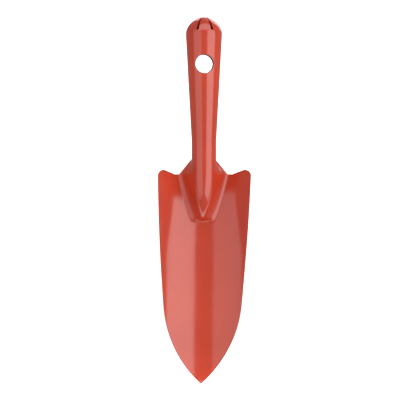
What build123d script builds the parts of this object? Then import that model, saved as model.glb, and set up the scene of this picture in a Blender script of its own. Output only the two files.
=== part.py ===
from build123d import *
import os
from math import atan2, cos, hypot, radians, sin, sqrt, tan

# Hand trowel, pressed and rolled from one sheet of steel. Sizes are in millimetres.
# The origin is the centre of the hanging hole, on the axis of the handle tube.
# +Z runs up the handle to its closed end, and the hollow of the blade faces -Y.

# The sheet, and the tube that it is rolled into
sheet = 1.6
butt_radius = 14.3
neck_radius = 9.7
hole_to_butt = 22.7
butt_band = 1.3
hole_to_taper_foot = 61.0
hanging_hole_radius = 7.35
seam_width = 0.8
seam_depth = 0.5

# The closed end: a shoulder bend, then tongues folded in towards a small opening
shoulder_bend_radius = 8.0
shoulder_bend_angle = 18.5
petal_count = 7
petal_bend_radius = 15.5
petal_bend_angle = 40.5
end_opening_radius = 4.0
slot_root_radius = 0.95
slot_tip_radius = 0.18
slot_root_gap = 0.35
slot_tilt = 45.0

# The neck: the tube opens in a V at the back, down to the notches beside the blade's ears
hole_to_seam_end = 64.0
hole_to_notch = 87.2
hollow_start_share = 0.5
seam_end_gap = 0.3

# The ridge that carries the tube's front into the blade, inside a U-shaped valley
ridge_length = 44.7
ridge_half_width = 19.5
valley_power = 0.42
nose_start_below_hole = 68.0
toe_above_valley_end = 4.9
toe_radius = 1.5
toe_half_width = 4.0
toe_fade = 6.0
valley_radius_at_notch = 5.0
valley_radius_at_toe = 10.5
valley_floor_angle = 8.0

# The blade, dished across and cranked back from the handle's line
blade_length = 166.6
blade_width = 73.6
point_width = 62.1
point_length = 62.0
side_arc_radius = 1700.0
blade_crank = 9.5
floor_at_notch = 13.0
shoulder_dish_radius = 37.0
middle_dish_radius = 50.0
middle_below_notch = 62.0
wing_angle = 42.0
notch_width = 3.0
ear_angle = 22.0
ear_corner_radius = 4.5
notch_radius = 1.5

# Heights that follow
taper_foot_z = -hole_to_taper_foot
seam_end_z = -hole_to_seam_end
notch_z = -hole_to_notch
hollow_start_z = seam_end_z + hollow_start_share * (notch_z - seam_end_z)
valley_end_z = notch_z - ridge_length
toe_z = valley_end_z + toe_above_valley_end
tip_z = notch_z - blade_length
bend_z = hole_to_butt + butt_band
fold_z = bend_z + shoulder_bend_radius * sin(radians(shoulder_bend_angle))


def blend(start, end, share):
    """A value between start and end, held at the nearer one outside 0 to 1."""
    return start + (end - start) * min(max(share, 0.0), 1.0)


def floor_y(z):
    """The front of the blade's sheet on the centre line, or where it would be under the ridge."""
    return floor_at_notch + tan(radians(blade_crank)) * (notch_z - z)


def dish_radius(z):
    """The radius of the blade's hollow, tightest at the shoulders."""
    return blend(shoulder_dish_radius, middle_dish_radius, (notch_z - z) / middle_below_notch)


def dish_depth(x, z):
    """How far the hollow's front has come forward of its floor, out at x."""
    radius = dish_radius(z)
    wing_start = radius * sin(radians(wing_angle))
    on_arc = min(abs(x), wing_start)
    return radius - sqrt(radius**2 - on_arc**2) + (abs(x) - on_arc) * tan(radians(wing_angle))


def edge_x(z):
    """Half the width of the ridge: its lips in the neck, and the line of the valley in the blade."""
    if z > notch_z:
        share = (seam_end_z - z) / (seam_end_z - notch_z)
        return blend(seam_end_gap, ridge_half_width, share)
    share = (z - valley_end_z) / ridge_length
    return ridge_half_width * max(share, 0.0) ** valley_power


def edge_y(z):
    """The front of the sheet at that edge, from the back of the tube to the valley in the blade."""
    if z > notch_z:
        valley = floor_y(notch_z) - dish_depth(ridge_half_width, notch_z)
        return blend(neck_radius, valley, (seam_end_z - z) / (seam_end_z - notch_z))
    return floor_y(z) - dish_depth(edge_x(z), z)


def crest_y(z):
    """The ridge's top line, which leaves the tube level and noses down to the blade's floor."""
    share = (-nose_start_below_hole - z) / (-nose_start_below_hole - toe_z)
    return blend(-neck_radius, floor_y(toe_z), min(max(share, 0.0), 1.0) ** 3)


def dish_y(x, z):
    """The front of the blade's sheet out at x."""
    return floor_y(z) - dish_depth(x, z)


def ridge_point(z, share):
    """The front of the ridge at a share of its half section, from the crest to the edge.

    The half section is a round top, a straight flank and a hollow that ends nearly level.
    """
    if z <= toe_z:
        x = share * max(edge_x(z), toe_half_width)
        return x, dish_y(x, z)
    toe_share = (notch_z - z) / (notch_z - toe_z)
    top = blend(neck_radius, toe_radius, max(toe_share, 0.0) ** 2)
    hollow = blend(valley_radius_at_notch, valley_radius_at_toe, toe_share)
    hollow = blend(0.0, hollow, (hollow_start_z - z) / (hollow_start_z - notch_z))
    end_angle = radians(valley_floor_angle)
    # the flank is the line that touches the top's circle and the hollow's circle
    across = edge_x(z) + hollow * sin(end_angle)
    down = edge_y(z) - crest_y(z) - top - hollow * cos(end_angle)
    flank = sqrt(max(across**2 + down**2 - (top + hollow) ** 2, 0.0))
    slope = atan2(down, across) + atan2(top + hollow, flank)
    run = share * (top * slope + flank + hollow * max(slope - end_angle, 0.0))
    top_angle = min(run / top, slope)
    flank_run = min(max(run - top * slope, 0.0), flank)
    hollow_angle = slope
    if hollow > 0:
        hollow_angle = slope - max(run - top * slope - flank, 0.0) / hollow
    x = top * sin(top_angle) + flank_run * cos(slope) + hollow * (sin(slope) - sin(hollow_angle))
    y = crest_y(z) + top * (1 - cos(top_angle)) + flank_run * sin(slope)
    y += hollow * (cos(hollow_angle) - cos(slope))
    settled = blend(0.0, 1.0, (toe_z + toe_fade - z) / toe_fade)
    return x, blend(y, dish_y(x, z), settled**2 * (3 - 2 * settled))


def band_outline(z, steps, extra):
    """The front and the back of the ridge's sheet, each as points from the left edge to the right."""
    half = [ridge_point(z, step / steps) for step in range(steps + 1)]
    if extra > 0:
        x = half[-1][0] + extra
        level_on = half[-1][1] + extra * tan(radians(valley_floor_angle))
        half.append((x, dish_y(x, z) if z <= toe_z else level_on))
    front = [(-x, y) for x, y in reversed(half[1:])] + half
    back = []
    for place, (x, y) in enumerate(front):
        before = front[max(place - 1, 0)]
        after = front[min(place + 1, len(front) - 1)]
        along_x = after[0] - before[0]
        along_y = after[1] - before[1]
        length = hypot(along_x, along_y)
        back.append((x - sheet * along_y / length, y + sheet * along_x / length))
    return front, back


def meridian_plane(angle):
    """The plane through the tube's axis at that angle from +X, with its y along +Z."""
    turn = radians(angle)
    return Plane(origin=(0, 0, 0), x_dir=(cos(turn), sin(turn), 0), z_dir=(sin(turn), -cos(turn), 0))


os.makedirs("parts", exist_ok=True)

# The two outlines seen from the front: the U inside the valley, and the blade around it
blade_half = blade_width / 2
ear_corner_z = notch_z + (blade_half - ridge_half_width - notch_width) * tan(radians(ear_angle))
side_top = (blade_half, notch_z - ear_corner_radius)
valley_steps = 12
valley_line = []
for step in range(valley_steps + 1):
    height = valley_end_z + ridge_length * (step / valley_steps) ** 2
    valley_line.append((edge_x(height), height))
with BuildSketch(Plane.XZ) as valley_outline:
    with BuildLine():
        Spline(*valley_line)
        Line((ridge_half_width, notch_z), (0, notch_z))
        mirror(about=Plane.YZ)
    make_face()
with BuildSketch(Plane.XZ) as blade_outline:
    with BuildLine():
        FilletPolyline(
            (0, notch_z),
            (ridge_half_width + notch_width, notch_z),
            (blade_half, ear_corner_z),
            side_top,
            radius=[notch_radius, ear_corner_radius],
        )
        side = RadiusArc(side_top, (point_width / 2, tip_z + point_length), side_arc_radius)
        TangentArc(side @ 1, (0, tip_z), tangent=side % 1)
        mirror(about=Plane.YZ)
    make_face()
    add(valley_outline.sketch, mode=Mode.SUBTRACT)

# Blade: a band of sheet bent across to the dish, cut to its outline
blade_stations = [ear_corner_z + sheet, notch_z, notch_z - middle_below_notch / 2]
blade_stations += [notch_z - middle_below_notch, (notch_z - middle_below_notch + tip_z) / 2, tip_z - sheet]
with BuildPart() as blade:
    for z in blade_stations:
        turn = radians(wing_angle)
        wing_x = dish_radius(z) * sin(turn)
        end_x = blade_half + sheet
        with BuildSketch(Plane.XY.offset(z)):
            with BuildLine():
                Line((-end_x, dish_y(end_x, z)), (-wing_x, dish_y(wing_x, z)))
                ThreePointArc((-wing_x, dish_y(wing_x, z)), (0, floor_y(z)), (wing_x, dish_y(wing_x, z)))
                Line((wing_x, dish_y(wing_x, z)), (end_x, dish_y(end_x, z)))
                offset(amount=sheet, side=Side.LEFT)
            make_face()
    loft()
    extrude(blade_outline.sketch, amount=blade_length, both=True, mode=Mode.INTERSECT)
blade.part.label = "blade"
export_step(blade.part, "parts/blade.step")

# Neck: the tube opens at the back, in a V that ends at the blade's notches
flare_shares = (0, 0.15, 0.35, 0.55, 0.78, 1)
section_steps = 11
with BuildPart() as neck:
    for share in flare_shares:
        z = blend(seam_end_z, notch_z, share)
        front, back = band_outline(z, section_steps, 0)
        with BuildSketch(Plane.XY.offset(z)):
            with BuildLine():
                Spline(*front)
                Line(front[-1], back[-1])
                Spline(*back)
                Line(front[0], back[0])
            make_face()
    loft()
neck.part.label = "neck"
export_step(neck.part, "parts/neck.step")

# Ridge: the tube's front carried on into the blade, cut to the valley's U
ridge_stations = 8
with BuildPart() as ridge:
    for station in range(ridge_stations + 1):
        z = blend(notch_z, valley_end_z - sheet, station / ridge_stations)
        front, back = band_outline(z, section_steps, 2 * sheet)
        with BuildSketch(Plane.XY.offset(z)):
            with BuildLine():
                Spline(*front)
                Line(front[-1], back[-1])
                Spline(*back)
                Line(front[0], back[0])
            make_face()
    loft()
    extrude(valley_outline.sketch, amount=blade_length, both=True, mode=Mode.INTERSECT)
ridge.part.label = "ridge"
export_step(ridge.part, "parts/ridge.step")

# Handle tube: a taper from the butt to the neck, with the hanging hole through both walls
with BuildPart() as handle_tube:
    with BuildSketch(Plane.XZ):
        with BuildLine():
            taper = Polyline(
                (neck_radius, seam_end_z),
                (neck_radius, taper_foot_z),
                (butt_radius, hole_to_butt),
                (butt_radius, bend_z),
            )
            JernArc(taper @ 1, (0, 1), shoulder_bend_radius, shoulder_bend_angle)
            offset(amount=sheet, side=Side.LEFT)
        make_face()
    revolve(axis=Axis.Z)
    with BuildSketch(Plane.XZ):
        Circle(hanging_hole_radius)
    extrude(amount=2 * butt_radius, both=True, mode=Mode.SUBTRACT)
    with BuildSketch(Plane.YZ):
        with BuildLine():
            Polyline(
                (neck_radius - seam_depth, seam_end_z),
                (neck_radius - seam_depth, taper_foot_z),
                (butt_radius - seam_depth, hole_to_butt),
                (butt_radius - seam_depth, fold_z),
                (butt_radius + seam_depth, fold_z),
                (butt_radius + seam_depth, seam_end_z),
                close=True,
            )
        make_face()
    extrude(amount=seam_width / 2, both=True, mode=Mode.SUBTRACT)
handle_tube.part.label = "handle_tube"
export_step(handle_tube.part, "parts/handle_tube.step")

# End petals: the tube's end slit into tongues, each folded in over the opening
petal_pitch = 360 / petal_count
front_angle = -90
petal_foot_slope = radians(90 - shoulder_bend_angle)
petal_top_slope = radians(90 - shoulder_bend_angle - petal_bend_angle)
petal_foot_x = butt_radius - shoulder_bend_radius * (1 - sin(petal_foot_slope))
slot_across = cos(radians(slot_tilt))
slot_up = sin(radians(slot_tilt))
slot_root_y = fold_z * slot_across - petal_foot_x * slot_up + slot_root_gap + slot_root_radius
slot_tip_y = (fold_z + butt_radius) * slot_across


def slot_plane(angle):
    """The plane through the origin that faces outward at that angle from +X and up at the slots' tilt."""
    turn = radians(angle)
    outward = (cos(turn) * slot_across, sin(turn) * slot_across, slot_up)
    return Plane(origin=(0, 0, 0), x_dir=(-sin(turn), cos(turn), 0), z_dir=outward)


for number in range(petal_count):
    side_angles = [front_angle + petal_pitch * (number + side) for side in (-0.5, 0.5)]
    with BuildPart() as end_petal:
        with BuildSketch(meridian_plane(side_angles[1])):
            with BuildLine():
                fold = JernArc(
                    (petal_foot_x, fold_z),
                    (-cos(petal_foot_slope), sin(petal_foot_slope)),
                    petal_bend_radius,
                    petal_bend_angle,
                )
                reach = (fold @ 1).X - end_opening_radius
                Line(fold @ 1, fold @ 1 + Vector(-reach, reach * tan(petal_top_slope)))
                offset(amount=sheet, side=Side.LEFT)
            make_face()
        revolve(axis=Axis((0, 0, 0), (0, 0, -1)), revolution_arc=petal_pitch)
        for angle in side_angles:
            with BuildSketch(slot_plane(angle)):
                with Locations((0, slot_root_y)):
                    Circle(slot_root_radius)
                with Locations((0, slot_tip_y)):
                    Circle(slot_tip_radius)
                make_hull()
            extrude(amount=4 * butt_radius, mode=Mode.SUBTRACT)
    end_petal.part.label = f"end_petal_{number + 1}"
    export_step(end_petal.part, f"parts/end_petal_{number + 1}.step")
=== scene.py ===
# %% [markdown]
# # A pressed steel hand trowel
# The trowel is one sheet of steel. A press dishes the blade and raises the ridge, and a roller closes the
# sheet round into the handle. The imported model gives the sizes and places, and this lesson gives the looks.

# %% Load the frame
from math import asin, atan2, cos, hypot, pi, radians, sin, sqrt, tan

import bmesh
import bpy
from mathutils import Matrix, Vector


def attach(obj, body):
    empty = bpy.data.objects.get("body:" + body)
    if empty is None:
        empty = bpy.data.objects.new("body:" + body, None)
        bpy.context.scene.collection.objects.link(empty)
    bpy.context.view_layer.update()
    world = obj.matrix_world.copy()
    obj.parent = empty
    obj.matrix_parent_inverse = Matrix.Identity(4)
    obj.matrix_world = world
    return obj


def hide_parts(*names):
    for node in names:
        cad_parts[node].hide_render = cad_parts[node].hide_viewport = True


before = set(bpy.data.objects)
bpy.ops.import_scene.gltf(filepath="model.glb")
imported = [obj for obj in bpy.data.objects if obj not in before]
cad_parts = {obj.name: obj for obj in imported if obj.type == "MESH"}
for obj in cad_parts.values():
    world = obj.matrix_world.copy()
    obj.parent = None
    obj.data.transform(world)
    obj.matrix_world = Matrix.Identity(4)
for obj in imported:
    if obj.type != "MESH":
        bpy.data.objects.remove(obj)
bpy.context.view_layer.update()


MM = 0.001

# %% [markdown]
# ## Sizes of the pressing
# These are in millimetres. All but the slots and the seam are the sizes that the solid model was drawn with,
# so the looks fit its box. The slots are wider here, and the seam at the back of the handle is open by a
# hair, where the solid model has a groove.

# %% Sizes
SHEET = 1.6
BUTT_RADIUS = 14.3
NECK_RADIUS = 9.7
BUTT_Z = 22.7
BEND_Z = 24.0
TAPER_FOOT_Z = -61.0
HOLE_RADIUS = 7.35
SHOULDER_RADIUS = 8.0
SHOULDER_ANGLE = radians(18.5)
PETALS = 7
PETAL_RADIUS = 15.5
PETAL_ANGLE = radians(40.5)
OPENING_RADIUS = 4.0
SLOT_ROOT = 1.3
SLOT_TIP = 0.25
SLOT_START = 0.1
SEAM_HAIRLINE = 0.14
SEAM_WIDENING = 8.0
SEAM_CLOSING = 2.0
SEAM_END_Z = -64.0
NOTCH_Z = -87.2
HOLLOW_START_Z = SEAM_END_Z + 0.5 * (NOTCH_Z - SEAM_END_Z)
SEAM_GAP = 0.3
RIDGE_LENGTH = 44.7
RIDGE_HALF = 19.5
VALLEY_POWER = 0.42
NOSE_START_Z = -68.0
TOE_RADIUS = 1.5
TOE_FADE = 6.0
VALLEY_NOTCH_RADIUS = 5.0
VALLEY_TOE_RADIUS = 10.5
VALLEY_FLOOR_ANGLE = radians(8)
BLADE_LENGTH = 166.6
BLADE_HALF = 36.8
POINT_HALF = 31.05
POINT_LENGTH = 62.0
SIDE_RADIUS = 1700.0
CRANK = radians(9.5)
FLOOR_AT_NOTCH = 13.0
SHOULDER_DISH = 37.0
MIDDLE_DISH = 50.0
MIDDLE_BELOW_NOTCH = 62.0
WING_ANGLE = radians(42)
NOTCH_WIDTH = 3.0
EAR_ANGLE = radians(22)
EAR_RADIUS = 4.5
NOTCH_RADIUS = 1.5

VALLEY_END_Z = NOTCH_Z - RIDGE_LENGTH
TOE_Z = VALLEY_END_Z + 4.9
TIP_Z = NOTCH_Z - BLADE_LENGTH
FOLD_Z = BEND_Z + SHOULDER_RADIUS * sin(SHOULDER_ANGLE)
print("the fold is at", round(FOLD_Z, 2), "and the tip at", round(TIP_Z, 2), "mm")

# %% [markdown]
# ## The camera
# A long lens a good way off keeps the handle and the blade in true proportion. It looks straight at the
# hollow of the blade, from a little to the left.

# %% Camera
CAMERA_DISTANCE = 5.0
CAMERA_YAW = radians(-3.3)
LENS = 570.0
SENSOR = 36.0
aim = Vector((-0.0031, 0.0, -0.1074))
camera_data = bpy.data.cameras.new("camera")
camera_data.lens = LENS
camera_data.sensor_width = SENSOR
camera = bpy.data.objects.new("camera", camera_data)
camera.location = aim + CAMERA_DISTANCE * Vector((sin(CAMERA_YAW), -cos(CAMERA_YAW), 0.0))
camera.rotation_euler = (aim - camera.location).to_track_quat("-Z", "Y").to_euler()
bpy.context.scene.collection.objects.link(camera)
bpy.context.scene.camera = camera
print("camera at", [round(value, 3) for value in camera.location])

# %% [markdown]
# ## The shape as rules
# Pressed sheet follows simple rules: an arc across the dish, a round top with two flanks for the ridge, and
# a taper for the rolled handle. Each rule is a function of the height, so any row of the mesh can be worked
# out, as finely as the looks need.


# %% Rules for the dish
def blend(start, end, share):
    """A value between start and end, held at the nearer one outside 0 to 1."""
    return start + (end - start) * min(max(share, 0.0), 1.0)


def floor_y(z):
    """The front of the blade on its centre line."""
    return FLOOR_AT_NOTCH + tan(CRANK) * (NOTCH_Z - z)


def dish_depth(x, z):
    """How far the hollow has come forward of its floor, out at x."""
    radius = blend(SHOULDER_DISH, MIDDLE_DISH, (NOTCH_Z - z) / MIDDLE_BELOW_NOTCH)
    on_arc = min(abs(x), radius * sin(WING_ANGLE))
    return radius - sqrt(radius**2 - on_arc**2) + (abs(x) - on_arc) * tan(WING_ANGLE)


def dish_y(x, z):
    """The front of the blade out at x."""
    return floor_y(z) - dish_depth(x, z)


print("the dish is", round(dish_depth(BLADE_HALF, NOTCH_Z), 1), "mm deep at the shoulders")


# %% Rules for the ridge
def edge_x(z):
    """Half the width of the ridge: its lips in the neck, and the line of the valley in the blade."""
    if z > NOTCH_Z:
        return blend(SEAM_GAP, RIDGE_HALF, (SEAM_END_Z - z) / (SEAM_END_Z - NOTCH_Z))
    return RIDGE_HALF * max((z - VALLEY_END_Z) / RIDGE_LENGTH, 0.0) ** VALLEY_POWER


def edge_y(z):
    """The front of the sheet at that edge."""
    if z > NOTCH_Z:
        valley = floor_y(NOTCH_Z) - dish_depth(RIDGE_HALF, NOTCH_Z)
        return blend(NECK_RADIUS, valley, (SEAM_END_Z - z) / (SEAM_END_Z - NOTCH_Z))
    return dish_y(edge_x(z), z)


def crest_y(z):
    """The ridge's top line, which leaves the tube level and noses down to the blade's floor."""
    share = (NOSE_START_Z - z) / (NOSE_START_Z - TOE_Z)
    return blend(-NECK_RADIUS, floor_y(TOE_Z), min(max(share, 0.0), 1.0) ** 3)


def ridge_point(z, share):
    """The front of the ridge at a share of its half section: a round top, a flank and a hollow."""
    if z <= TOE_Z:
        x = share * edge_x(z)
        return x, dish_y(x, z)
    toe_share = (NOTCH_Z - z) / (NOTCH_Z - TOE_Z)
    top = blend(NECK_RADIUS, TOE_RADIUS, max(toe_share, 0.0) ** 2)
    hollow = blend(VALLEY_NOTCH_RADIUS, VALLEY_TOE_RADIUS, toe_share)
    hollow = blend(0.0, hollow, (HOLLOW_START_Z - z) / (HOLLOW_START_Z - NOTCH_Z))
    across = edge_x(z) + hollow * sin(VALLEY_FLOOR_ANGLE)
    down = edge_y(z) - crest_y(z) - top - hollow * cos(VALLEY_FLOOR_ANGLE)
    flank = sqrt(max(across**2 + down**2 - (top + hollow) ** 2, 0.0))
    slope = atan2(down, across) + atan2(top + hollow, flank)
    run = share * (top * slope + flank + hollow * max(slope - VALLEY_FLOOR_ANGLE, 0.0))
    top_angle = min(run / top, slope)
    flank_run = min(max(run - top * slope, 0.0), flank)
    hollow_angle = slope
    if hollow > 0:
        hollow_angle = slope - max(run - top * slope - flank, 0.0) / hollow
    x = top * sin(top_angle) + flank_run * cos(slope) + hollow * (sin(slope) - sin(hollow_angle))
    y = crest_y(z) + top * (1 - cos(top_angle)) + flank_run * sin(slope)
    y += hollow * (cos(hollow_angle) - cos(slope))
    settled = blend(0.0, 1.0, (TOE_Z + TOE_FADE - z) / TOE_FADE)
    return x, blend(y, dish_y(x, z), settled**2 * (3 - 2 * settled))


print("the ridge's flank at the notches is", [round(value, 1) for value in ridge_point(NOTCH_Z, 0.6)])


# %% Rules for the rolled handle
def tube_radius(z):
    """The outside radius of the rolled handle."""
    if z > BEND_Z:
        rise = min(z - BEND_Z, SHOULDER_RADIUS)
        return BUTT_RADIUS - SHOULDER_RADIUS + sqrt(SHOULDER_RADIUS**2 - rise**2)
    return blend(NECK_RADIUS, BUTT_RADIUS, (z - TAPER_FOOT_Z) / (BUTT_Z - TAPER_FOOT_Z))


print("the handle is", 2 * tube_radius(0.0), "mm across at the hanging hole")

# %% [markdown]
# ## The end tongues
# The roller can't close the end of a tube, so the sheet is slit there and seven tongues are folded in. They
# are alike, so one tongue's skin is meshed and Geometry Nodes turns copies of it round the handle. They stay
# skins for now, because they grow out of the handle's own sheet and are thickened together with it.

# %% One tongue
COLUMNS = 18
LENGTH_STEP = 0.05
ROOT_SHARES = (0.03, 0.12, 0.3, 0.6, 1.0)
TAPER_ROWS = 18
HALF_PITCH = pi / PETALS


def petal_profile(run):
    """Radius and height on the outside of a tongue, at a run from its foot."""
    start = SHOULDER_ANGLE
    bend = PETAL_RADIUS * PETAL_ANGLE
    angle = start + min(run, bend) / PETAL_RADIUS
    radius = tube_radius(FOLD_Z) - PETAL_RADIUS * (cos(start) - cos(angle))
    height = FOLD_Z + PETAL_RADIUS * (sin(angle) - sin(start))
    past = max(run - bend, 0.0)
    return radius - past * sin(angle), height + past * cos(angle)


def slot_half(run, length):
    """Half the width of the slot beside a tongue: a round root, then a taper to the opening."""
    past = run - SLOT_START
    if past <= 0:
        return 0.0
    width = blend(SLOT_ROOT, SLOT_TIP, past / (length - SLOT_START))
    if past < SLOT_ROOT:
        width = min(width, sqrt(SLOT_ROOT**2 - (SLOT_ROOT - past) ** 2))
    return width


petal_length = 0.0
while petal_profile(petal_length)[0] > OPENING_RADIUS:
    petal_length += LENGTH_STEP
runs = [SLOT_START * share for share in (0.0, 0.5, 1.0)]
runs += [SLOT_START + SLOT_ROOT * share for share in ROOT_SHARES]
rest = petal_length - runs[-1]
runs += [runs[-1] + rest * (step + 1) / TAPER_ROWS for step in range(TAPER_ROWS)]
petal_verts = []
for run in runs:
    radius, height = petal_profile(run)
    half = HALF_PITCH - asin(min(slot_half(run, petal_length) / radius, 1.0))
    for column in range(COLUMNS + 1):
        turn = half * (2 * column / COLUMNS - 1)
        petal_verts.append((radius * sin(turn) * MM, -radius * cos(turn) * MM, height * MM))
petal_faces = []
width = COLUMNS + 1
for row in range(len(runs) - 1):
    for column in range(COLUMNS):
        corner = row * width + column
        petal_faces.append((corner, corner + 1, corner + width + 1, corner + width))
petal_mesh = bpy.data.meshes.new("tongue")
petal_mesh.from_pydata(petal_verts, [], petal_faces)
print("a tongue is", round(petal_length, 1), "mm long with", len(petal_faces), "faces")

# %% [markdown]
# ## The paint
# The steel wears one thick coat of red-orange enamel, baked to a satin gloss. Real enamel is never quite
# flat: it has a fine orange-peel ripple, its colour drifts a little, and it thins to a deeper red on edges.

# %% Enamel
enamel = bpy.data.materials.new("red_enamel")
enamel.use_nodes = True
nodes = enamel.node_tree.nodes
links = enamel.node_tree.links
paint = nodes["Principled BSDF"]
paint.inputs["IOR"].default_value = 1.75
place = nodes.new("ShaderNodeTexCoord")


def noise(scale, detail):
    """A noise texture on the object's own coordinates."""
    node = nodes.new("ShaderNodeTexNoise")
    node.inputs["Scale"].default_value = scale
    node.inputs["Detail"].default_value = detail
    links.new(place.outputs["Object"], node.inputs["Vector"])
    return node


def ramp(source, low, high, start, end):
    """Turns a texture's value into a colour or a level between two stops."""
    node = nodes.new("ShaderNodeValToRGB")
    node.color_ramp.elements[0].position = low
    node.color_ramp.elements[0].color = start
    node.color_ramp.elements[1].position = high
    node.color_ramp.elements[1].color = end
    links.new(source, node.inputs["Fac"])
    return node


DEEP = (0.545, 0.046, 0.018, 1.0)
BRIGHT = (0.600, 0.056, 0.022, 1.0)
THIN_PAINT = (0.44, 0.030, 0.013, 1.0)
GLOSSIER = (0.14, 0.14, 0.14, 1)
DULLER = (0.2, 0.2, 0.2, 1)
drift = ramp(noise(22.0, 3.0).outputs["Fac"], 0.35, 0.65, DEEP, BRIGHT)
edge = nodes.new("ShaderNodeAttribute")
edge.attribute_name = "edge_thinning"
thin = nodes.new("ShaderNodeMix")
thin.data_type = "RGBA"
thin.inputs["B"].default_value = THIN_PAINT
links.new(edge.outputs["Fac"], thin.inputs["Factor"])
links.new(drift.outputs["Color"], thin.inputs["A"])
links.new(thin.outputs["Result"], paint.inputs["Base Color"])
gloss = ramp(noise(60.0, 4.0).outputs["Fac"], 0.3, 0.7, GLOSSIER, DULLER)
links.new(gloss.outputs["Color"], paint.inputs["Roughness"])
peel = nodes.new("ShaderNodeBump")
peel.inputs["Strength"].default_value = 0.25
peel.inputs["Distance"].default_value = 0.00006
links.new(noise(750.0, 1.5).outputs["Fac"], peel.inputs["Height"])
waves = nodes.new("ShaderNodeBump")
waves.inputs["Strength"].default_value = 0.25
waves.inputs["Distance"].default_value = 0.0003
links.new(noise(45.0, 1.0).outputs["Fac"], waves.inputs["Height"])
links.new(peel.outputs["Normal"], waves.inputs["Normal"])
links.new(waves.outputs["Normal"], paint.inputs["Normal"])
print("enamel has", len(nodes), "nodes")

# %% [markdown]
# ## Turning the tongues round the handle
# The tree takes the tongue's mesh as it is, makes one point for each tongue on a ring, and puts a copy on
# each, turned by its share of a full turn. The number of tongues is an input, so another count is one edit.

# %% Tongue tree
tree = bpy.data.node_groups.new("tongues_round_handle", "GeometryNodeTree")
tree.interface.new_socket("Geometry", in_out="INPUT", socket_type="NodeSocketGeometry")
count_socket = tree.interface.new_socket("Tongues", in_out="INPUT", socket_type="NodeSocketInt")
finish_socket = tree.interface.new_socket("Finish", in_out="INPUT", socket_type="NodeSocketMaterial")
tree.interface.new_socket("Geometry", in_out="OUTPUT", socket_type="NodeSocketGeometry")
made = {}
for label, kind in (
    ("in", "NodeGroupInput"),
    ("points", "GeometryNodePoints"),
    ("copies", "GeometryNodeInstanceOnPoints"),
    ("index", "GeometryNodeInputIndex"),
    ("share", "ShaderNodeMath"),
    ("turn", "ShaderNodeMath"),
    ("spin", "ShaderNodeCombineXYZ"),
    ("real", "GeometryNodeRealizeInstances"),
    ("finish", "GeometryNodeSetMaterial"),
    ("out", "NodeGroupOutput"),
):
    made[label] = tree.nodes.new(kind)
made["share"].operation = "DIVIDE"
made["turn"].operation = "MULTIPLY"
made["turn"].inputs[1].default_value = 2 * pi
for source, output, target, entry in (
    ("in", "Tongues", "points", "Count"),
    ("points", 0, "copies", "Points"),
    ("in", "Geometry", "copies", "Instance"),
    ("index", 0, "share", 0),
    ("in", "Tongues", "share", 1),
    ("share", 0, "turn", 0),
    ("turn", 0, "spin", "Z"),
    ("spin", 0, "copies", "Rotation"),
    ("copies", 0, "real", 0),
    ("real", 0, "finish", "Geometry"),
    ("in", "Finish", "finish", "Material"),
    ("finish", 0, "out", 0),
):
    tree.links.new(made[source].outputs[output], made[target].inputs[entry])
tongue_maker = bpy.data.objects.new("tongue_maker", petal_mesh)
bpy.context.scene.collection.objects.link(tongue_maker)
turning = tongue_maker.modifiers.new("turning", "NODES")
turning.node_group = tree
turning[count_socket.identifier] = PETALS
turning[finish_socket.identifier] = enamel
bpy.context.view_layer.update()
evaluated = tongue_maker.evaluated_get(bpy.context.evaluated_depsgraph_get())
tongues_mesh = bpy.data.meshes.new_from_object(evaluated)
tongue_maker.modifiers.remove(turning)
bpy.data.objects.remove(tongue_maker)
print("the tongues have", len(tongues_mesh.polygons), "faces")

# %% [markdown]
# ## The sheet's skin
# The front of the sheet is one skin: a strip that is a tube in the handle and becomes the ridge, and two
# wings that join it along the crease of the valley. The strip's rows are level, and the wings are stretched
# between their four borders, which is called a Coons patch.

# %% The strip's rows
SIDE_COLUMNS = PETALS * COLUMNS // 2
skin = bmesh.new()
straight = skin.verts.layers.float.new("straight")
trimmed = skin.verts.layers.float.new("trimmed")


def tube_point(z, share):
    """The front of the sheet on the rolled handle, at a share of the way round from the front."""
    radius = tube_radius(z)
    opened = blend(0.0, 1.0, (FOLD_Z - z) / SEAM_CLOSING)
    half_gap = blend(SEAM_GAP, SEAM_HAIRLINE, (z - SEAM_END_Z) / SEAM_WIDENING)
    gap = asin(blend(0.0, half_gap, opened) / radius)
    turn = share * (pi - gap)
    return radius * sin(turn), -radius * cos(turn)


def strip_point(z, share):
    """A point of the strip, at a share from the left edge at -1 to the right edge at 1."""
    side = -1.0 if share < 0 else 1.0
    if z >= SEAM_END_Z:
        x, y = tube_point(z, abs(share))
    else:
        x, y = ridge_point(z, abs(share))
    return Vector((side * x, y, z)) * MM


def spread(start, end, count):
    """Heights from start to end in even steps, without the last one."""
    return [start + (end - start) * step / count for step in range(count)]


PATCH = 10.4
VALLEY_ROWS = 72
NEAR = 1e-6
valley_heights = []
for step in range(VALLEY_ROWS + 1):
    share = 1 - step / VALLEY_ROWS
    valley_heights.append(VALLEY_END_Z + RIDGE_LENGTH * share**2)
heights = []
for start, end, count in (
    (FOLD_Z, BEND_Z, 5),
    (BEND_Z, BUTT_Z, 2),
    (BUTT_Z, PATCH, 14),
    (PATCH, -PATCH, 26),
    (-PATCH, TAPER_FOOT_Z, 50),
    (TAPER_FOOT_Z, SEAM_END_Z, 4),
    (SEAM_END_Z, NOTCH_Z, 34),
):
    heights += spread(start, end, count)
first_valley_row = len(heights)
heights += valley_heights
strip = []
shares = [column / SIDE_COLUMNS - 1 for column in range(2 * SIDE_COLUMNS + 1)]
for z in heights:
    if z <= VALLEY_END_Z + NEAR:
        strip.append([skin.verts.new(strip_point(z, 0.0))] * len(shares))
    else:
        strip.append([skin.verts.new(strip_point(z, share)) for share in shares])
print("the strip has", len(strip), "rows of", len(strip[0]))

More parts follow.
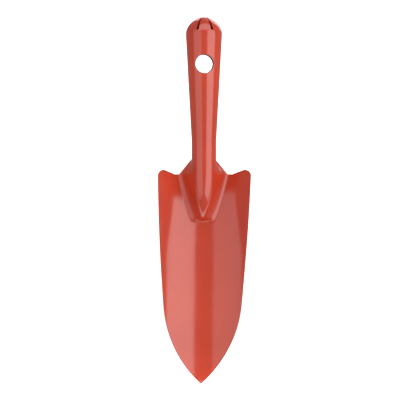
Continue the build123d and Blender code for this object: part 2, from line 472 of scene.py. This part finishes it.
# %% [markdown]
# ## Room for the hanging hole
# A round hole in a square mesh looks ragged. So a square of faces is left out of the front and of the back,
# and rings of faces run from its border to a true circle. The seam at the back splits its square in two.

# %% Faces of the strip
hole_rows = [row for row, z in enumerate(heights) if abs(z) <= PATCH + NEAR]
hole_reach = round(SIDE_COLUMNS * asin(PATCH / tube_radius(0.0)) / pi)
left_hole = SIDE_COLUMNS - hole_reach
right_hole = SIDE_COLUMNS + hole_reach
last_column = 2 * SIDE_COLUMNS


def in_hole_square(row, column):
    """Whether a face of the strip is left out for the hanging hole."""
    if not hole_rows[0] <= row < hole_rows[-1]:
        return False
    at_back = column < hole_reach or column >= last_column - hole_reach
    return left_hole <= column < right_hole or at_back


for row in range(len(strip) - 1):
    for column in range(last_column):
        if in_hole_square(row, column):
            continue
        upper, lower = strip[row], strip[row + 1]
        ring = [upper[column], lower[column], lower[column + 1], upper[column + 1]]
        corners = [vert for place, vert in enumerate(ring) if vert not in ring[:place]]
        skin.faces.new(corners)
print("the strip has", len(skin.faces), "faces")

# %% Rings round the hole
RINGS = 7


def hole_rings(border, side, closed):
    """Adds rings of faces between a border of the strip and the hole's circle. Side is -1 at the front."""
    rings = [border]
    for step in range(1, RINGS + 1):
        share = step / RINGS
        ring = []
        for vert in border:
            x, z = vert.co.x / MM, vert.co.z / MM
            reach = hypot(x, z)
            x = x + share * (HOLE_RADIUS / reach - 1) * x
            z = z + share * (HOLE_RADIUS / reach - 1) * z
            y = side * sqrt(tube_radius(z) ** 2 - x**2)
            made_vert = skin.verts.new(Vector((x, y, z)) * MM)
            made_vert[straight] = share
            ring.append(made_vert)
        rings.append(ring)
    last = len(border) if closed else len(border) - 1
    for outer, inner in zip(rings, rings[1:]):
        for place in range(last):
            after = (place + 1) % len(border)
            skin.faces.new((outer[place], outer[after], inner[after], inner[place]))


top_row, bottom_row = hole_rows[0], hole_rows[-1]
front_border = [strip[top_row][column] for column in range(right_hole, left_hole, -1)]
front_border += [strip[row][left_hole] for row in range(top_row, bottom_row)]
front_border += [strip[bottom_row][column] for column in range(left_hole, right_hole)]
front_border += [strip[row][right_hole] for row in range(bottom_row, top_row, -1)]
hole_rings(front_border, -1, True)
right_back = [strip[top_row][column] for column in range(last_column, last_column - hole_reach, -1)]
right_back += [strip[row][last_column - hole_reach] for row in range(top_row, bottom_row)]
right_back += [strip[bottom_row][column] for column in range(last_column - hole_reach, last_column + 1)]
hole_rings(right_back, 1, False)
left_back = [strip[bottom_row][column] for column in range(hole_reach)]
left_back += [strip[row][hole_reach] for row in range(bottom_row, top_row, -1)]
left_back += [strip[top_row][column] for column in range(hole_reach, -1, -1)]
hole_rings(left_back, 1, False)
print("the skin has", len(skin.faces), "faces with the hole's rings")

# %% [markdown]
# ## The wings
# Each wing has four borders: the notch and the ear on top, the crease and the centre line inside, the long
# side outside, and the point at the bottom. The mesh is mirrored, so one outline serves both wings.


# %% The wing's outline
def arc_between(centre, radius, start, end, count):
    """Points on an arc from one angle to another."""
    turns = [start + (end - start) * step / count for step in range(count + 1)]
    return [(centre[0] + radius * cos(turn), centre[1] + radius * sin(turn)) for turn in turns]


def even_points(line, count):
    """Points along a line of corners, at even runs."""
    marks = [0.0]
    for before, after in zip(line, line[1:]):
        marks.append(marks[-1] + hypot(after[0] - before[0], after[1] - before[1]))
    points = []
    place = 0
    for step in range(count + 1):
        run = marks[-1] * (step / count)
        while place < len(line) - 2 and marks[place + 1] < run:
            place += 1
        share = (run - marks[place]) / (marks[place + 1] - marks[place])
        (x, z), (next_x, next_z) = line[place], line[place + 1]
        points.append((x + share * (next_x - x), z + share * (next_z - z)))
    return points


notch_corner = RIDGE_HALF + NOTCH_WIDTH
ear_top_z = NOTCH_Z + (BLADE_HALF - notch_corner) * tan(EAR_ANGLE)
notch_cut = NOTCH_RADIUS * tan(EAR_ANGLE / 2)
notch_centre = (notch_corner - notch_cut, NOTCH_Z + NOTCH_RADIUS)
notch_arc = arc_between(notch_centre, NOTCH_RADIUS, -pi / 2, EAR_ANGLE - pi / 2, 8)
ear_cut = EAR_RADIUS * tan((pi / 2 + EAR_ANGLE) / 2)
ear_centre = (BLADE_HALF - EAR_RADIUS, ear_top_z - ear_cut)
ear_arc = arc_between(ear_centre, EAR_RADIUS, pi / 2 + EAR_ANGLE, 0.0, 20)
EAR_SPLIT = 13
ARC_STEPS = 40
top_line = [(RIDGE_HALF, NOTCH_Z)] + notch_arc + ear_arc[: EAR_SPLIT + 1]
side_start = ear_centre[1]
side_end = (POINT_HALF, TIP_Z + POINT_LENGTH)
chord = hypot(side_end[0] - BLADE_HALF, side_end[1] - side_start)
chord_turn = atan2(side_end[1] - side_start, side_end[0] - BLADE_HALF)
half_sweep = asin(chord / 2 / SIDE_RADIUS)
side_line = [(BLADE_HALF, side_start)]
for step in range(1, ARC_STEPS + 1):
    heading = chord_turn + half_sweep - 2 * half_sweep * (step - 0.5) / ARC_STEPS
    before = side_line[-1]
    run = chord / ARC_STEPS
    side_line.append((before[0] + run * cos(heading), before[1] + run * sin(heading)))
end_heading = chord_turn - half_sweep
to_tip = hypot(side_end[0], side_end[1] - TIP_Z)
tip_turn = atan2(TIP_Z - side_end[1], -side_end[0])
swing = end_heading - tip_turn
swing = swing - 2 * pi * round(swing / (2 * pi))
point_line = [side_end]
for step in range(1, ARC_STEPS + 1):
    heading = tip_turn + swing - 2 * swing * (step - 0.5) / ARC_STEPS
    run = to_tip * abs(swing / sin(swing)) / ARC_STEPS
    before = point_line[-1]
    point_line.append((before[0] + run * cos(heading), before[1] + run * sin(heading)))
point_line[-1] = (0.0, TIP_Z)
outer_line = ear_arc[EAR_SPLIT:] + side_line[1:-1] + point_line
print("the wing's side has", len(outer_line), "corners")

# %% The wing's mesh
WING_COLUMNS = 44
TRIM_COLUMNS = 12
CENTRE_ROWS = 110
FINE_STEPS = 2000
left_line = [(edge_x(z), z) for z in valley_heights]
left_line += [(0.0, z) for z in spread(VALLEY_END_Z, TIP_Z, CENTRE_ROWS)[1:]] + [(0.0, TIP_Z)]
rows = len(left_line) - 1
marks = [0.0]
for before, after in zip(left_line, left_line[1:]):
    marks.append(marks[-1] + hypot(after[0] - before[0], after[1] - before[1]))
row_shares = [mark / marks[-1] for mark in marks]
fine_side = even_points(outer_line, FINE_STEPS)
top_points = even_points(top_line, WING_COLUMNS)
corner_in, corner_out, tip = left_line[0], top_points[-1], (0.0, TIP_Z)


def coons(column, row):
    """A point of the wing stretched between its borders."""
    u, v = column / WING_COLUMNS, row_shares[row]
    outer = fine_side[round(v * FINE_STEPS)]
    spot = []
    for axis in (0, 1):
        along = (1 - v) * top_points[column][axis] + v * tip[axis]
        across = (1 - u) * left_line[row][axis] + u * outer[axis]
        corners = (1 - v) * ((1 - u) * corner_in[axis] + u * corner_out[axis]) + v * tip[axis]
        spot.append(along + across - corners)
    return spot


for side in (-1, 1):
    wing = []
    for row in range(rows + 1):
        line = []
        for column in range(WING_COLUMNS + 1):
            x, z = coons(column, row)
            vert = skin.verts.new(Vector((side * x, dish_y(x, z), z)) * MM)
            vert[trimmed] = min(column / TRIM_COLUMNS, 1.0)
            line.append(vert)
        wing.append(line)
    for row in range(rows):
        for column in range(WING_COLUMNS):
            upper, lower = wing[row], wing[row + 1]
            corners = [upper[column], lower[column], lower[column + 1], upper[column + 1]]
            skin.faces.new(corners if side > 0 else corners[::-1])
print("with its wings the skin has", len(skin.faces), "faces")

# %% [markdown]
# ## One sheet, thickened
# The tongues, the strip and the wings are merged where they touch. Then the skin gets its thickness: each
# point has a twin behind it, as far back as the sheet is thick, and the open edges get a wall. Around the
# hanging hole the twins move over, so that the hole is drilled straight through and not splayed. Out on the
# wings they lie straight back along Y, which keeps the blade's thickness inside its outline.

# %% Merge the skin
BLADE_BELOW = -0.14
skin.from_mesh(tongues_mesh)
bmesh.ops.remove_doubles(skin, verts=skin.verts, dist=0.004 * MM)
bmesh.ops.dissolve_degenerate(skin, dist=0.002 * MM, edges=skin.edges)
loose = [vert for vert in skin.verts if not vert.link_faces]
bmesh.ops.delete(skin, geom=loose, context="VERTS")
skin.normal_update()
blade_faces = [face for face in skin.faces if face.calc_center_median().z < BLADE_BELOW]
facing = sum(face.normal.y * face.calc_area() for face in blade_faces)
if facing > 0:
    bmesh.ops.reverse_faces(skin, faces=skin.faces)
open_edges = [edge for edge in skin.edges if edge.is_boundary]
odd_edges = [edge for edge in skin.edges if not edge.is_manifold and not edge.is_boundary]
turned = [edge for edge in skin.edges if edge.is_manifold and not edge.is_contiguous]
print("skin:", len(skin.faces), "faces and", len(open_edges), "open edges")
print("edges with too many faces:", len(odd_edges), "and with a turned face:", len(turned))

# %% Give the sheet its thickness
MOST_SHARPENING = 1.5
LEAST_FACING = 0.5
skin.verts.ensure_lookup_table()
skin.verts.index_update()
fronts = [vert.co.copy() for vert in skin.verts]
backs = []
for vert in skin.verts:
    back = vert.co - vert.normal * SHEET * MM * min(vert.calc_shell_factor(), MOST_SHARPENING)
    through = vert.co + Vector((0.0, SHEET * MM / max(abs(vert.normal.y), LEAST_FACING), 0.0))
    back = back.lerp(through, vert[trimmed])
    share = vert[straight]
    if share > 0:
        x = vert.co.x / MM * (1 - (1 - share) * SHEET / tube_radius(vert.co.z / MM))
        z = vert.co.z / MM
        y = sqrt((tube_radius(z) - SHEET) ** 2 - x**2)
        back = Vector((x, y if vert.co.y > 0 else -y, z)) * MM
    backs.append(back)
count = len(fronts)
faces = []
for face in skin.faces:
    ring = [vert.index for vert in face.verts]
    faces.append(ring)
    faces.append([index + count for index in reversed(ring)])
for edge in skin.edges:
    if edge.is_boundary:
        loop = edge.link_loops[0]
        start, end = loop.vert.index, loop.link_loop_next.vert.index
        faces.append([end, start, start + count, end + count])
thinning = [1.0 if vert.is_boundary else 0.0 for vert in skin.verts] * 2
skin.free()
sheet_mesh = bpy.data.meshes.new("pressing")
sheet_mesh.from_pydata(fronts + backs, [], faces)
layer = sheet_mesh.attributes.new("edge_thinning", "FLOAT", "POINT")
layer.data.foreach_set("value", thinning)
sheet_mesh.materials.append(enamel)
sheet_mesh.shade_smooth()
problems = sheet_mesh.validate(verbose=False)
pressing = bpy.data.objects.new("pressing", sheet_mesh)
bpy.context.scene.collection.objects.link(pressing)
print("pressing:", len(sheet_mesh.polygons), "faces, mended" if problems else "faces, sound")

# %% [markdown]
# ## Rounded edges
# A press leaves a crisp corner, and the paint rounds it. A Bevel modifier that works only on steep corners
# rounds the rim and the hole, and leaves the crease of the valley as sharp as the die made it.

# %% Round the edges
rounding = pressing.modifiers.new("paint_rounded_edges", "BEVEL")
rounding.width = 0.35 * MM
rounding.segments = 2
rounding.limit_method = "ANGLE"
rounding.angle_limit = radians(60)
rounding.use_clamp_overlap = True
print("edges rounded by", rounding.width / MM, "mm")

# %% [markdown]
# ## Floor, backdrop and light
# The floor sweeps up behind the trowel in one curve, so no horizon crosses the view. It begins just behind
# the trowel, so the dish has no floor in front to mirror, and its front edge hangs down to fill the view
# below. A strong softbox on the right and a weaker one on the left draw the long pale bands on the enamel,
# and leave the middle deep red.

# %% Floor and backdrop
FLOOR_Z = TIP_Z * MM - 0.001
STAGE_HALF = 0.75
WALL_Y = 6.0
WALL_TOP = 1.4
CURVE = 0.4
CURVE_STEPS = 16
FLOOR_START_Y = 0.03
FRONT_DROP = 0.4
sweep = [(FLOOR_START_Y, -FRONT_DROP), (FLOOR_START_Y, 0.0), (WALL_Y - CURVE, 0.0)]
for step in range(1, CURVE_STEPS + 1):
    turn = pi / 2 * step / CURVE_STEPS
    sweep.append((WALL_Y - CURVE + CURVE * sin(turn), CURVE - CURVE * cos(turn)))
sweep += [(WALL_Y, WALL_TOP)]
stage_verts = []
for y, z in sweep:
    stage_verts += [(-STAGE_HALF, y, z + FLOOR_Z), (STAGE_HALF, y, z + FLOOR_Z)]
stage_faces = []
for first in range(0, 2 * len(sweep) - 2, 2):
    stage_faces.append((first, first + 1, first + 3, first + 2))
stage_mesh = bpy.data.meshes.new("floor")
stage_mesh.from_pydata(stage_verts, [], stage_faces)
floor = bpy.data.objects.new("floor", stage_mesh)
bpy.context.scene.collection.objects.link(floor)
paper = bpy.data.materials.new("white_paper")
paper.use_nodes = True
sheet_paint = paper.node_tree.nodes["Principled BSDF"]
sheet_paint.inputs["Base Color"].default_value = (0.9, 0.9, 0.9, 1.0)
sheet_paint.inputs["Roughness"].default_value = 1.0
sheet_paint.inputs["Specular IOR Level"].default_value = 0.0
sheet_paint.inputs["Emission Color"].default_value = (1.0, 1.0, 1.0, 1.0)
sheet_paint.inputs["Emission Strength"].default_value = 1.0
stage_mesh.materials.append(paper)
print("floor at", round(FLOOR_Z, 4), "m")


# %% Softboxes
def softbox(name, azimuth, elevation, distance, width, height, power):
    """An area light that faces the trowel. Its azimuth is 0 at the front and grows to the right."""
    data = bpy.data.lights.new(name, "AREA")
    data.shape = "RECTANGLE"
    data.size = width
    data.size_y = height
    data.energy = power
    light = bpy.data.objects.new(name, data)
    turn, tilt = radians(azimuth), radians(elevation)
    centre = Vector((0.0, 0.0, -0.12))
    light.location = centre + distance * Vector((sin(turn) * cos(tilt), -cos(turn) * cos(tilt), sin(tilt)))
    light.rotation_euler = (centre - light.location).to_track_quat("-Z", "Y").to_euler()
    bpy.context.scene.collection.objects.link(light)


softbox("softbox_right", azimuth=46, elevation=-10, distance=1.5, width=1.53, height=3.2, power=27.0)
softbox("softbox_left", azimuth=-46, elevation=-10, distance=1.5, width=1.53, height=3.2, power=12.0)
softbox("softbox_top", azimuth=5, elevation=62, distance=1.6, width=2.4, height=1.1, power=12.0)
softbox("softbox_back", azimuth=165, elevation=38, distance=1.6, width=1.6, height=1.2, power=12.0)
world = bpy.data.worlds.new("studio")
world.use_nodes = True
world.node_tree.nodes["Background"].inputs["Color"].default_value = (1.0, 1.0, 1.0, 1.0)
world.node_tree.nodes["Background"].inputs["Strength"].default_value = 0.25
bpy.context.scene.world = world
bpy.context.scene.view_settings.view_transform = "Standard"
print("four softboxes and a dim room")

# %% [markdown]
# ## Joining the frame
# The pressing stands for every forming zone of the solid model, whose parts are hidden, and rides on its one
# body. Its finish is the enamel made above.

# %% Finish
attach(pressing, "root")
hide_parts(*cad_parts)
